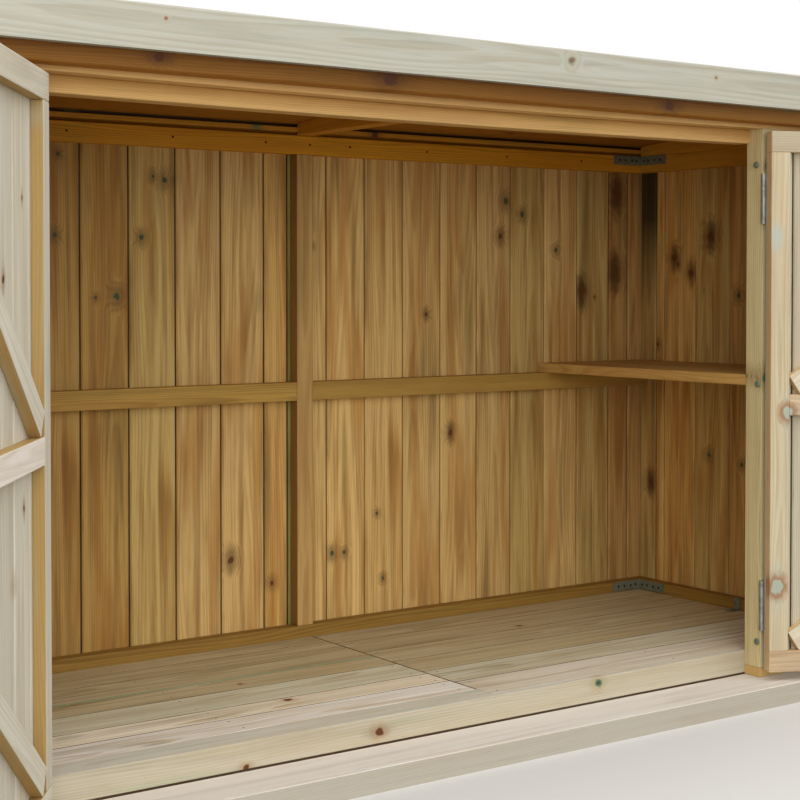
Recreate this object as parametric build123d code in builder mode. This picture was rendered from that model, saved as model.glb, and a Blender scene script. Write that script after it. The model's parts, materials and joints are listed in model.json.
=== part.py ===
from build123d import *
import math
import os

# A low lean-to bike shelter: a timber floor, tongue-and-groove walls on rails, a shallow pent roof and a pair
# of framed, braced doors. X runs along the front, +Y to the back, +Z up. The origin is on the ground under
# the middle of the walls' plan.

os.makedirs("parts", exist_ok=True)

# Timber sections
rail_depth = 33.0
rail_height = 45.0
board_thickness = 16.0
stud_width = 45.0
rafter_width = 45.0
fascia_thickness = 20.0
fascia_height = 79.0
fascia_round = 4.0
edge_round = 2.0

# Plan of the room, measured between the inner faces of the rails
room_half_length = 1100.0
room_back = 351.5
walls_front = -412.5
middle_offset = -5.0

# Heights above the ground
sill_height = 47.0
bearer_height = 86.0
mid_rail_top = 721.0
fascia_top = 1433.0
wall_top_drop = 119.0
door_head_height = 32.0
batten_lift = 8.0
plate_height = 22.0

# Front
sill_projection = 80.0
floor_beam_depth = 68.0
floor_beam_rebate = 52.0
left_post_width = 97.0
right_post_width = 70.0
front_panel_width = 309.0
door_head_setback = 37.0
door_head_depth = 45.0

# Roof
roof_pitch = 5.0
deck_thickness = 16.0
felt_thickness = 3.0
fascia_lip = 2.0
roof_end_overhang = 45.0
roof_back_overhang = 45.0
batten_depth = 45.0
roof_front_rail_depth = 45.0

# Floor and shelf
floor_joist_spacing = 550.0
floor_seam = 1.0
floor_seam_place = 14.0
shelf_thickness = 25.0
shelf_clearance = 2.0

# Doors
door_frame_thickness = 22.0
door_board_thickness = 16.0
door_rail_height = 48.0
door_stile_width = 46.0
door_brace_width = 50.0
door_mid_rail_bottom = 656.0
door_jamb_gap = 6.0
door_meeting_gap = 7.0
door_sill_gap = 21.0
door_top_gap = 10.0
hinge_projection = 6.0
left_open_angle = 125.0
right_open_angle = 156.0

# Hinges
hinge_height = 115.0
hinge_radius = 6.0
hinge_pin_radius = 2.5
hinge_pin_clearance = 0.3
hinge_leaf_thickness = 2.0
hinge_leaf_width = 35.0
hinge_knuckle_gap = 0.5
hinge_recess = 1.0
upper_hinge_drop = 152.0
lower_hinge_rise = 148.0

# Angle brackets
bracket_arm = 100.0
bracket_width = 25.0
bracket_thickness = 2.5
floor_bracket_leg = 36.0
floor_bracket_width = 22.0
floor_bracket_place = -30.0

# Faces that follow from the values above
wall_top = fascia_top - wall_top_drop
boards_half_length = room_half_length + rail_depth
walls_half_length = boards_half_length + board_thickness
back_boards_face = room_back + rail_depth
walls_back = back_boards_face + board_thickness
posts_back = walls_front + board_thickness + rail_depth
floor_top = bearer_height + board_thickness
floor_beam_back = posts_back + floor_beam_depth
right_floor_front = floor_beam_back - floor_beam_rebate
floor_seam_left = floor_seam_place - floor_seam / 2
floor_seam_right = floor_seam_place + floor_seam / 2
mid_rail_bottom = mid_rail_top - rail_height
bottom_rail_top = bearer_height + rail_height
top_rail_bottom = wall_top - rail_height
middle_left = middle_offset - stud_width / 2
middle_right = middle_offset + stud_width / 2
posts_foot = sill_height + plate_height
door_left_jamb = left_post_width - boards_half_length
right_post_edge = boards_half_length - front_panel_width
door_right_jamb = right_post_edge - right_post_width
deck_front = walls_front - batten_depth
deck_back = walls_back + roof_back_overhang
deck_half_length = walls_half_length + roof_end_overhang
roof_front_rail_back = walls_front + roof_front_rail_depth
roof_front_underside = fascia_top - fascia_lip - felt_thickness - deck_thickness
slope = math.tan(math.radians(roof_pitch))
door_head_front = walls_front + door_head_setback
door_bottom = sill_height + door_sill_gap
door_top = wall_top - door_top_gap
door_thickness = door_board_thickness + door_frame_thickness
upper_hinge_centre = door_top - upper_hinge_drop
lower_hinge_centre = door_bottom + lower_hinge_rise
jamb_offset = door_jamb_gap / 2
hinge_y = walls_front - hinge_projection
left_hinge_x = door_left_jamb + jamb_offset
right_hinge_x = door_right_jamb - jamb_offset
leaf_width = (door_right_jamb - door_left_jamb - 2 * door_jamb_gap - door_meeting_gap) / 2
leaf_end = jamb_offset + leaf_width


def roof_underside(y):
    return roof_front_underside - (y - deck_front) * slope


def bar(x0, x1, y0, y1, z0, z1):
    with Locations(((x0 + x1) / 2, (y0 + y1) / 2, (z0 + z1) / 2)):
        Box(x1 - x0, y1 - y0, z1 - z0)


def wedge(x0, x1, y0, y1, bottom):
    with BuildSketch(Plane.YZ.offset(x0)) as outline:
        with BuildLine():
            Polyline((y0, bottom), (y1, bottom), (y1, roof_underside(y1)), (y0, roof_underside(y0)), close=True)
        make_face()
    extrude(outline.sketch, amount=x1 - x0)


def roof_slab(x0, x1, y0, y1, lower, upper):
    with BuildSketch(Plane.YZ.offset(x0)) as outline:
        with BuildLine():
            Polyline((y0, roof_underside(y0) + lower), (y1, roof_underside(y1) + lower),
                     (y1, roof_underside(y1) + upper), (y0, roof_underside(y0) + upper), close=True)
        make_face()
    extrude(outline.sketch, amount=x1 - x0)


def save(part, label):
    part.label = label
    export_step(part, f"parts/{label}.step")


# Base
with BuildPart() as sill_board:
    bar(-walls_half_length, walls_half_length, walls_front - sill_projection, posts_back, 0, sill_height)
    fillet(sill_board.edges().filter_by(Axis.X).group_by(Axis.Y)[0].sort_by(Axis.Z)[-1:], edge_round)
save(sill_board.part, "sill_board")

# The boards of the right-hand run lie in a rebate of the beam, so less of its top shows there.
with BuildPart() as floor_beam:
    bar(-room_half_length, floor_seam_right, posts_back, floor_beam_back, 0, floor_top)
    bar(floor_seam_right, room_half_length, posts_back, floor_beam_back, 0, bearer_height)
    bar(floor_seam_right, room_half_length, posts_back, right_floor_front, bearer_height, floor_top)
    fillet(floor_beam.edges().filter_by(Axis.X).group_by(Axis.Y)[0].sort_by(Axis.Z)[-1:], edge_round)
save(floor_beam.part, "floor_beam")

with BuildPart() as back_bearer:
    bar(-boards_half_length, boards_half_length, room_back, back_boards_face, 0, bearer_height)
save(back_bearer.part, "back_bearer")

with BuildPart() as left_bearer:
    bar(-boards_half_length, -room_half_length, posts_back, room_back, 0, bearer_height)
save(left_bearer.part, "left_bearer")

with BuildPart() as right_bearer:
    bar(room_half_length, boards_half_length, posts_back, room_back, 0, bearer_height)
save(right_bearer.part, "right_bearer")

with BuildPart() as floor_joists:
    for place in (-floor_joist_spacing, 0.0, floor_joist_spacing):
        bar(place - stud_width / 2, place + stud_width / 2, floor_beam_back, room_back, 0, bearer_height)
save(floor_joists.part, "floor_joists")

# Floor
with BuildPart() as floor_left:
    bar(-room_half_length, floor_seam_left, floor_beam_back, room_back, bearer_height, floor_top)
save(floor_left.part, "floor_left")

with BuildPart() as floor_right:
    bar(floor_seam_right, room_half_length, right_floor_front, room_back, bearer_height, floor_top)
save(floor_right.part, "floor_right")

# Back wall
with BuildPart() as back_wall:
    bar(-walls_half_length, walls_half_length, back_boards_face, walls_back, sill_height, wall_top)
save(back_wall.part, "back_wall")

with BuildPart() as back_rails:
    bar(-boards_half_length, boards_half_length, room_back, back_boards_face, top_rail_bottom, wall_top)
    bar(-boards_half_length, boards_half_length, room_back, back_boards_face, bearer_height, bottom_rail_top)
    bar(-boards_half_length, middle_left, room_back, back_boards_face, mid_rail_bottom, mid_rail_top)
    bar(middle_right, boards_half_length, room_back, back_boards_face, mid_rail_bottom, mid_rail_top)
save(back_rails.part, "back_rails")

with BuildPart() as back_stud:
    bar(middle_left, middle_right, room_back, back_boards_face, bottom_rail_top, top_rail_bottom)
save(back_stud.part, "back_stud")


# Side walls
def side_rails(x0, x1):
    bar(x0, x1, posts_back, room_back, top_rail_bottom, wall_top)
    bar(x0, x1, posts_back, room_back, bearer_height, bottom_rail_top)


with BuildPart() as left_wall:
    bar(-walls_half_length, -boards_half_length, walls_front, back_boards_face, sill_height, wall_top)
save(left_wall.part, "left_wall")

with BuildPart() as left_rails:
    side_rails(-boards_half_length, -room_half_length)
save(left_rails.part, "left_rails")

with BuildPart() as right_wall:
    bar(boards_half_length, walls_half_length, walls_front, back_boards_face, sill_height, wall_top)
save(right_wall.part, "right_wall")

with BuildPart() as right_rails:
    side_rails(room_half_length, boards_half_length)
save(right_rails.part, "right_rails")

# Front wall
with BuildPart() as front_plates:
    bar(-boards_half_length, door_left_jamb, walls_front, posts_back, sill_height, posts_foot)
    bar(door_right_jamb, boards_half_length, walls_front, posts_back, sill_height, posts_foot)
save(front_plates.part, "front_plates")

with BuildPart() as left_post:
    bar(-boards_half_length, door_left_jamb, walls_front, posts_back, posts_foot, wall_top)
save(left_post.part, "left_post")

with BuildPart() as right_post:
    bar(door_right_jamb, right_post_edge, walls_front, posts_back, posts_foot, wall_top)
save(right_post.part, "right_post")

with BuildPart() as front_panel:
    bar(right_post_edge, boards_half_length, walls_front, walls_front + board_thickness, posts_foot, wall_top)
save(front_panel.part, "front_panel")

with BuildPart() as front_panel_rails:
    for low, high in ((top_rail_bottom, wall_top), (mid_rail_bottom, mid_rail_top), (bearer_height, bottom_rail_top)):
        bar(right_post_edge, boards_half_length, walls_front + board_thickness, posts_back, low, high)
save(front_panel_rails.part, "front_panel_rails")

with BuildPart() as door_head:
    bar(door_left_jamb, door_right_jamb, door_head_front, door_head_front + door_head_depth,
        wall_top - door_head_height, wall_top)
save(door_head.part, "door_head")

# Shelf over the rails in the right-hand corner
with BuildPart() as shelf:
    bar(door_right_jamb + shelf_clearance, boards_half_length - shelf_clearance, posts_back + shelf_clearance,
        back_boards_face - shelf_clearance, mid_rail_top, mid_rail_top + shelf_thickness)
save(shelf.part, "shelf")

# Roof frame
with BuildPart() as roof_front_rail:
    wedge(-walls_half_length, walls_half_length, walls_front, roof_front_rail_back, wall_top)
save(roof_front_rail.part, "roof_front_rail")

with BuildPart() as roof_front_batten:
    wedge(-deck_half_length, deck_half_length, deck_front, walls_front, wall_top + batten_lift)
save(roof_front_batten.part, "roof_front_batten")

with BuildPart() as roof_back_rail:
    wedge(-walls_half_length, walls_half_length, room_back, back_boards_face, wall_top)
save(roof_back_rail.part, "roof_back_rail")

with BuildPart() as roof_rafters:
    wedge(-boards_half_length, -room_half_length, roof_front_rail_back, room_back, wall_top)
    wedge(middle_offset - rafter_width / 2, middle_offset + rafter_width / 2, roof_front_rail_back, room_back, wall_top)
    wedge(room_half_length, boards_half_length, roof_front_rail_back, room_back, wall_top)
save(roof_rafters.part, "roof_rafters")

# Roof covering and its edge boards
with BuildPart() as roof_deck:
    roof_slab(-deck_half_length, deck_half_length, deck_front, deck_back, 0, deck_thickness)
save(roof_deck.part, "roof_deck")

with BuildPart() as roof_felt:
    roof_slab(-deck_half_length, deck_half_length, deck_front, deck_back, deck_thickness,
              deck_thickness + felt_thickness)
save(roof_felt.part, "roof_felt")

with BuildPart() as roof_fascia:
    bar(-deck_half_length - fascia_thickness, deck_half_length + fascia_thickness,
        deck_front - fascia_thickness, deck_front, fascia_top - fascia_height, fascia_top)
    fillet(roof_fascia.edges().filter_by(Axis.X).group_by(Axis.Z)[-1], fascia_round)
save(roof_fascia.part, "roof_fascia")

edge_upper = fascia_top - roof_front_underside
edge_lower = edge_upper - fascia_height

with BuildPart() as left_roof_edge:
    roof_slab(-deck_half_length - fascia_thickness, -deck_half_length, deck_front, deck_back, edge_lower, edge_upper)
save(left_roof_edge.part, "left_roof_edge")

with BuildPart() as right_roof_edge:
    roof_slab(deck_half_length, deck_half_length + fascia_thickness, deck_front, deck_back, edge_lower, edge_upper)
save(right_roof_edge.part, "right_roof_edge")

# Angle brackets: pairs of arms in the back corners, and small ones from the floor up the side rails
with BuildPart() as angle_brackets:
    for side in (-1, 1):
        for low in (wall_top - bracket_width, floor_top + bracket_thickness):
            wall_face = side * room_half_length
            inner_face = side * (room_half_length - bracket_thickness)
            arm_end = side * (room_half_length - bracket_arm)
            bar(min(wall_face, inner_face), max(wall_face, inner_face), room_back - bracket_arm, room_back,
                low, low + bracket_width)
            bar(min(wall_face, arm_end), max(wall_face, arm_end), room_back - bracket_thickness, room_back,
                low, low + bracket_width)
        foot_end = side * (room_half_length - floor_bracket_leg)
        bar(min(wall_face, inner_face), max(wall_face, inner_face), floor_bracket_place,
            floor_bracket_place + floor_bracket_width, floor_top, floor_top + floor_bracket_leg - bracket_thickness)
        bar(min(wall_face, foot_end), max(wall_face, foot_end), floor_bracket_place,
            floor_bracket_place + floor_bracket_width, floor_top, floor_top + bracket_thickness)
save(angle_brackets.part, "angle_brackets")


# Doors. Each leaf is laid out on its own plane through the hinge axis: s runs from the axis to the meeting
# edge, t from the outer face inwards, and the plane is turned to the open angle. side is 1 for the left
# leaf and -1 for the right one.
def leaf_plane(side):
    turn = math.radians(-left_open_angle if side > 0 else right_open_angle)
    axis_x = left_hinge_x if side > 0 else right_hinge_x
    return Plane(origin=(axis_x, hinge_y, 0), x_dir=(math.cos(turn), math.sin(turn), 0), z_dir=(0, 0, 1))


def leaf_bar(side, s0, s1, t0, t1, z0, z1):
    with Locations((side * (s0 + s1) / 2, (t0 + t1) / 2, (z0 + z1) / 2)):
        Box(s1 - s0, t1 - t0, z1 - z0)


def hinge_recesses():
    for centre in (upper_hinge_centre, lower_hinge_centre):
        with Locations((0, 0, centre)):
            Cylinder(hinge_radius + hinge_recess, hinge_height + 2 * hinge_recess, mode=Mode.SUBTRACT)


def leaf_braces(side):
    clear_width = leaf_width - 2 * door_stile_width
    for low, high in ((door_bottom + door_rail_height, door_mid_rail_bottom),
                      (door_mid_rail_bottom + door_rail_height, door_top - door_rail_height)):
        clear_height = high - low
        rise = math.atan2(clear_height, clear_width)
        for step in range(20):
            length = (clear_width - door_brace_width * math.sin(rise)) / math.cos(rise)
            rise = math.atan2(clear_height - door_brace_width * math.cos(rise), length * math.cos(rise))
        middle_s = jamb_offset + leaf_width / 2
        middle_t = door_board_thickness + door_frame_thickness / 2
        with Locations(Location((side * middle_s, middle_t, (low + high) / 2), (0, -side * math.degrees(rise), 0))):
            Box(length, door_frame_thickness, door_brace_width)


def door_hinge_leaves(side):
    knuckle = (hinge_height - 2 * hinge_knuckle_gap) / 3
    clearance = hinge_radius + hinge_knuckle_gap
    end_place = (knuckle + hinge_knuckle_gap + hinge_knuckle_gap + knuckle) / 2
    for centre in (upper_hinge_centre, lower_hinge_centre):
        leaf_bar(side, 0, hinge_leaf_width, -hinge_leaf_thickness, 0, centre - hinge_height / 2,
                 centre + hinge_height / 2)
        for end in (-1, 1):
            with Locations((0, 0, centre + end * end_place)):
                Cylinder(clearance, knuckle + 2 * hinge_knuckle_gap, mode=Mode.SUBTRACT)
        with Locations((0, 0, centre)):
            Cylinder(hinge_radius, knuckle)
            Cylinder(hinge_pin_radius + hinge_pin_clearance, knuckle, mode=Mode.SUBTRACT)


def post_hinge_leaves(side):
    knuckle = (hinge_height - 2 * hinge_knuckle_gap) / 3
    clearance = hinge_radius + hinge_knuckle_gap
    end_place = knuckle + hinge_knuckle_gap
    for centre in (upper_hinge_centre, lower_hinge_centre):
        leaf_bar(side, -hinge_leaf_width, 0, hinge_projection - hinge_leaf_thickness, hinge_projection,
                 centre - hinge_height / 2, centre + hinge_height / 2)
        with Locations((0, 0, centre)):
            Cylinder(clearance, knuckle + 2 * hinge_knuckle_gap, mode=Mode.SUBTRACT)
            Cylinder(hinge_pin_radius, hinge_height)
        for end in (-1, 1):
            with Locations((0, 0, centre + end * end_place)):
                Cylinder(hinge_radius, knuckle)


# Left door
with BuildPart(leaf_plane(1)) as left_door_boards:
    leaf_bar(1, jamb_offset, leaf_end, 0, door_board_thickness, door_bottom, door_top)
    hinge_recesses()
save(left_door_boards.part, "left_door_boards")

with BuildPart(leaf_plane(1)) as left_door_rails:
    for low, inset in ((door_bottom, 0), (door_mid_rail_bottom, door_stile_width), (door_top - door_rail_height, 0)):
        leaf_bar(1, jamb_offset + inset, leaf_end - inset, door_board_thickness, door_thickness,
                 low, low + door_rail_height)
save(left_door_rails.part, "left_door_rails")

with BuildPart(leaf_plane(1)) as left_door_stiles:
    for start in (jamb_offset, leaf_end - door_stile_width):
        leaf_bar(1, start, start + door_stile_width, door_board_thickness, door_thickness,
                 door_bottom + door_rail_height, door_top - door_rail_height)
save(left_door_stiles.part, "left_door_stiles")

with BuildPart(leaf_plane(1)) as left_door_braces:
    leaf_braces(1)
save(left_door_braces.part, "left_door_braces")

with BuildPart(leaf_plane(1)) as left_door_hinges:
    door_hinge_leaves(1)
save(left_door_hinges.part, "left_door_hinges")

with BuildPart(Plane.XY.move(Location((left_hinge_x, hinge_y, 0)))) as left_post_hinges:
    post_hinge_leaves(1)
save(left_post_hinges.part, "left_post_hinges")

# Right door
with BuildPart(leaf_plane(-1)) as right_door_boards:
    leaf_bar(-1, jamb_offset, leaf_end, 0, door_board_thickness, door_bottom, door_top)
    hinge_recesses()
save(right_door_boards.part, "right_door_boards")

with BuildPart(leaf_plane(-1)) as right_door_rails:
    for low, inset in ((door_bottom, 0), (door_mid_rail_bottom, door_stile_width), (door_top - door_rail_height, 0)):
        leaf_bar(-1, jamb_offset + inset, leaf_end - inset, door_board_thickness, door_thickness,
                 low, low + door_rail_height)
save(right_door_rails.part, "right_door_rails")

with BuildPart(leaf_plane(-1)) as right_door_stiles:
    for start in (jamb_offset, leaf_end - door_stile_width):
        leaf_bar(-1, start, start + door_stile_width, door_board_thickness, door_thickness,
                 door_bottom + door_rail_height, door_top - door_rail_height)
save(right_door_stiles.part, "right_door_stiles")

with BuildPart(leaf_plane(-1)) as right_door_braces:
    leaf_braces(-1)
save(right_door_braces.part, "right_door_braces")

with BuildPart(leaf_plane(-1)) as right_door_hinges:
    door_hinge_leaves(-1)
save(right_door_hinges.part, "right_door_hinges")

with BuildPart(Plane.XY.move(Location((right_hinge_x, hinge_y, 0)))) as right_post_hinges:
    post_hinge_leaves(-1)
save(right_post_hinges.part, "right_post_hinges")
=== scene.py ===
"""Looks of the timber bike shelter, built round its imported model."""

import json
import logging
import math
import random
from dataclasses import dataclass, field, replace
from enum import Enum
from typing import Callable, Iterable, Iterator, Mapping, Optional, Sequence, TypeVar, Union

import bmesh
import bpy
from mathutils import Matrix, Vector

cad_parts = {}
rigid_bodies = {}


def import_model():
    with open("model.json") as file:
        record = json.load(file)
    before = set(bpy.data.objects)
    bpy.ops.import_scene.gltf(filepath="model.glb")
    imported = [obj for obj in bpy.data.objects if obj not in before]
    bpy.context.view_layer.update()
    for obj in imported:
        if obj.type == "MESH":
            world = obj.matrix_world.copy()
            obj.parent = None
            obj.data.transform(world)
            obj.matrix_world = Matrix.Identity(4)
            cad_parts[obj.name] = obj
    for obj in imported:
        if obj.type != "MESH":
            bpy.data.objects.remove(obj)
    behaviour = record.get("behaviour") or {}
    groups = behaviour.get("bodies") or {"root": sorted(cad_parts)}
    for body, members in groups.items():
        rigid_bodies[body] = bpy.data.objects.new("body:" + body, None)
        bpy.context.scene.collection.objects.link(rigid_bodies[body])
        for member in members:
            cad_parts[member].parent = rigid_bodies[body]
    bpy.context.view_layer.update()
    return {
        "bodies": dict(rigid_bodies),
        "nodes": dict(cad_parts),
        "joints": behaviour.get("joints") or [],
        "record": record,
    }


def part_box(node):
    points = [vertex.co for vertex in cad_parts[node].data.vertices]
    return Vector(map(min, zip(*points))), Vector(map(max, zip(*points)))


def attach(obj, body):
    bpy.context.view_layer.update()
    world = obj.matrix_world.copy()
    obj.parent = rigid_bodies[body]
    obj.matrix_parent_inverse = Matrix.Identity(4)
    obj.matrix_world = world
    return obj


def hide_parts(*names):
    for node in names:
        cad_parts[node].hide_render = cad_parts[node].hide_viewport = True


LOG = logging.getLogger("bike_shelter")
Item = TypeVar("Item")
Colour = tuple[float, float, float]
Number = Union[int, float, "Num"]
KNOT_LAYERS = ("knot_a", "knot_b", "knot_c")
NO_KNOT = (99.0, 99.0, 0.001, 0.0)
KNOT_MARGIN = 0.012
SHORT_TIMBER = 0.1


def unique(items: Iterable[Item]) -> list[Item]:
    """The items once each, in the order in which they first come, which is the same on every run."""
    return list(dict.fromkeys(items))


def srgb(red: int, green: int, blue: int) -> Colour:
    """A colour as a screen shows it, 0 to 255, turned into the linear values that a shader takes."""
    steps = (red / 255, green / 255, blue / 255)
    return tuple(c / 12.92 if c <= 0.04045 else ((c + 0.055) / 1.055) ** 2.4 for c in steps)


class Num:
    """A number on a shader socket that takes part in Python expressions."""

    def __init__(self, shader: "Shader", socket: bpy.types.NodeSocket) -> None:
        """Keeps the socket and the shader that new nodes go to."""
        self.shader = shader
        self.socket = socket

    def _join(self, operation: str, first: Number, second: Number = 0.0) -> "Num":
        """One Math node on up to two numbers."""
        made = self.shader.node("ShaderNodeMath", {"operation": operation}, {0: first, 1: second})
        return self.shader.number(made)

    def __add__(self, other: Number) -> "Num":
        """self + other."""
        return self._join("ADD", self, other)

    __radd__ = __add__

    def __sub__(self, other: Number) -> "Num":
        """self - other."""
        return self._join("SUBTRACT", self, other)

    def __rsub__(self, other: Number) -> "Num":
        """other - self."""
        return self._join("SUBTRACT", other, self)

    def __mul__(self, other: Number) -> "Num":
        """self * other."""
        return self._join("MULTIPLY", self, other)

    __rmul__ = __mul__

    def __truediv__(self, other: Number) -> "Num":
        """self / other."""
        return self._join("DIVIDE", self, other)

    def __pow__(self, other: Number) -> "Num":
        """self to the power other."""
        return self._join("POWER", self, other)

    def part(self) -> "Num":
        """What is left of the number after its whole part."""
        return self._join("FRACT", self)

    def most(self, other: Number) -> "Num":
        """The higher of the two numbers."""
        return self._join("MAXIMUM", self, other)

    def rise(self, start: Number, end: Number, low: Number = 0.0, high: Number = 1.0) -> "Num":
        """A smooth step from low at start to high at end, which may run downwards.

        Args:
            start: the value of the number where the step begins.
            end: the value where it is complete.
            low: the result at start.
            high: the result at end.

        Returns:
            The stepped number, held to low and high outside the step.
        """
        return self.shader.number(self.shader.node(
            "ShaderNodeMapRange", {"interpolation_type": "SMOOTHSTEP", "clamp": True},
            {"Value": self, "From Min": start, "From Max": end, "To Min": low, "To Max": high}))


Value = Union[Number, Colour, Sequence[float], bpy.types.NodeSocket]


class Shader:
    """The node tree of one material or world, with the few calls that the finishes use."""

    def __init__(self, owner: Union[bpy.types.Material, bpy.types.World]) -> None:
        """Empties the tree of the material or world.

        Args:
            owner: what the nodes belong to.
        """
        self.owner = owner
        self.owner.use_nodes = True
        self.tree = self.owner.node_tree
        self.tree.nodes.clear()

    @classmethod
    def named(cls, name: str) -> "Shader":
        """Starts on a new material of that name."""
        return cls(bpy.data.materials.new(name))

    def node(self, kind: str, settings: Optional[Mapping[str, object]] = None,
             inputs: Optional[Mapping[Union[int, str], Value]] = None) -> bpy.types.Node:
        """Makes one node.

        Args:
            kind: Blender's name for the type of node.
            settings: properties that are set before the sockets are filled.
            inputs: values or links by the socket's name or number.

        Returns:
            The new node.
        """
        made = self.tree.nodes.new(kind)
        for key, value in (settings or {}).items():
            setattr(made, key, value)
        for key, value in (inputs or {}).items():
            socket = made.inputs[key]
            if isinstance(value, Num):
                self.tree.links.new(value.socket, socket)
            elif isinstance(value, bpy.types.NodeSocket):
                self.tree.links.new(value, socket)
            elif isinstance(value, (tuple, list)) and socket.type == "RGBA":
                socket.default_value = (*value[:3], 1.0)
            else:
                socket.default_value = value
        return made

    def number(self, node: bpy.types.Node, output: Union[int, str] = 0) -> Num:
        """One output of a node as a number."""
        return Num(self, node.outputs[output])

    def attribute(self, name: str) -> bpy.types.Node:
        """What the mesh carries under that name."""
        return self.node("ShaderNodeAttribute", {"attribute_name": name})

    def split(self, vector: bpy.types.NodeSocket) -> tuple[Num, Num, Num]:
        """The three numbers of a vector."""
        made = self.node("ShaderNodeSeparateXYZ", None, {0: vector})
        return tuple(Num(self, out) for out in made.outputs)

    def two_faced(self, lit: bpy.types.Node, seen: bpy.types.Node, output: str) -> None:
        """Closes the tree with one shader for the light and another one for the camera and reflections.

        Args:
            lit: the shader that light meets.
            seen: the one that is looked at.
            output: Blender's name for the output node.
        """
        path = self.node("ShaderNodeLightPath")
        looks = self.number(path, "Is Camera Ray").most(self.number(path, "Is Glossy Ray"))
        both = self.node("ShaderNodeMixShader", None, {0: looks, 1: lit.outputs[0], 2: seen.outputs[0]})
        self.node(output, None, {"Surface": both.outputs[0]})

    def streaks(self, along: Number, across: Number, detail: float = 2.0) -> Num:
        """Smooth noise over two numbers.

        Args:
            along: the first number, already scaled to the noise.
            across: the second one.
            detail: how many finer layers it has.

        Returns:
            The noise, from 0 to 1.
        """
        place = self.node("ShaderNodeCombineXYZ", None, {0: along, 1: across}).outputs[0]
        return self.number(self.node("ShaderNodeTexNoise", {"noise_dimensions": "2D"},
                                     {"Vector": place, "Scale": 1.0, "Detail": detail}))

    def noise(self, place: bpy.types.NodeSocket, scale: float, detail: float = 2.0) -> Num:
        """Smooth noise from 0 to 1 in space."""
        return self.number(self.node("ShaderNodeTexNoise", {"noise_dimensions": "3D"},
                                     {"Vector": place, "Scale": scale, "Detail": detail}))

    def mix(self, amount: Number, first: Value, second: Value, way: str = "MIX") -> bpy.types.NodeSocket:
        """Turns one colour towards another.

        Args:
            amount: how far, from 0 to 1.
            first: the colour at 0.
            second: the colour that is mixed in.
            way: Blender's name for the kind of mix.

        Returns:
            The mixed colour.
        """
        made = self.node("ShaderNodeMix", {"data_type": "RGBA", "blend_type": way, "clamp_factor": True},
                         {0: amount, 6: first, 7: second})
        return made.outputs[2]

    def finish(self, colour: Value, roughness: Number, normal: Optional[bpy.types.NodeSocket] = None,
               metallic: Number = 0.0, specular: float = 0.5) -> bpy.types.Material:
        """Closes the tree with one Principled shader.

        Args:
            colour: base colour.
            roughness: how dull the surface is.
            normal: the bumped normal, if there is one.
            metallic: 1 on bare metal.
            specular: strength of the plain reflection, the same all over.

        Returns:
            The finished material.
        """
        sockets: dict[str, Value] = {"Base Color": colour, "Roughness": roughness, "Metallic": metallic,
                                     "Specular IOR Level": specular}
        if normal is not None:
            sockets["Normal"] = normal
        surface = self.node("ShaderNodeBsdfPrincipled", None, sockets)
        self.node("ShaderNodeOutputMaterial", None, {"Surface": surface.outputs[0]})
        return self.owner

    def bump(self, height: Num, depth: float, strength: float = 1.0) -> bpy.types.NodeSocket:
        """A normal that follows a height from 0 to 1, depth metres deep."""
        made = self.node("ShaderNodeBump", None, {"Height": height, "Distance": depth, "Strength": strength})
        return made.outputs[0]


class Hue(Enum):
    """Tints that timbers of one batch show beside each other; some of them also paint shade or light onto
    chosen timbers.
    """

    PLAIN = (1.0, 1.0, 1.0)
    FRESH = (1.12, 1.12, 1.1)
    GOLDEN = (1.06, 0.99, 0.82)
    OLIVE = (0.86, 0.9, 0.82)
    PINK = (1.06, 0.95, 0.95)
    BROWN = (0.82, 0.74, 0.66)
    DULL = (0.84, 0.84, 0.88)
    DEEP = (0.74, 0.68, 0.5)
    SHADY = (0.66, 0.56, 0.44)
    DUSK = (0.54, 0.46, 0.34)
    FROST = (1.12, 1.17, 1.3)
    COOL = (0.88, 0.95, 1.08)
    GREYED = (0.74, 0.88, 2.0)
    ROSY = (0.86, 0.74, 0.7)
    # Painted shade: the darker tops of the door head and the front rail under the overhang.
    SHADE_UNDER_OVERHANG = (0.66, 0.56, 0.38)
    AMBER = (1.18, 1.1, 0.6)
    PALE = (1.2, 1.17, 1.26)
    MUTED = (0.52, 0.58, 1.1)
    GREEN = (0.5, 0.72, 0.55)
    CORNER_DARK = (0.12, 0.11, 0.09)
    GAP_SHADE = (0.12, 0.07, 0.03)
    # Painted shade: the dark strips in the gaps of the floor and under the beam.
    BLACK = (0.06, 0.05, 0.05)

    @classmethod
    def row(cls, names: str) -> dict[int, "Hue"]:
        """The tints of the boards of a row, in order, from their names."""
        return dict(enumerate(cls[name] for name in names.split()))


@dataclass(frozen=True)
class Knot:
    """One knot at its place on the shelter, in metres."""

    place: tuple[float, float, float]
    radius: float = 0.007
    resin: float = 0.0
    smear: float = 0.0

    @property
    def kind(self) -> float:
        """Above 0 for green resin (to 0.4 with no core, from 1.2 with a dark centre), below 0 for a smear."""
        return self.resin - self.smear


@dataclass(frozen=True)
class Variety:
    """How the timbers of one finish differ from each other."""

    hues: tuple[Hue, ...] = (Hue.PLAIN, Hue.PLAIN, Hue.FRESH, Hue.GOLDEN, Hue.OLIVE)
    swing: float = 0.05
    knots: float = 0.35
    radius: tuple[float, float] = (0.004, 0.009)


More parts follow.
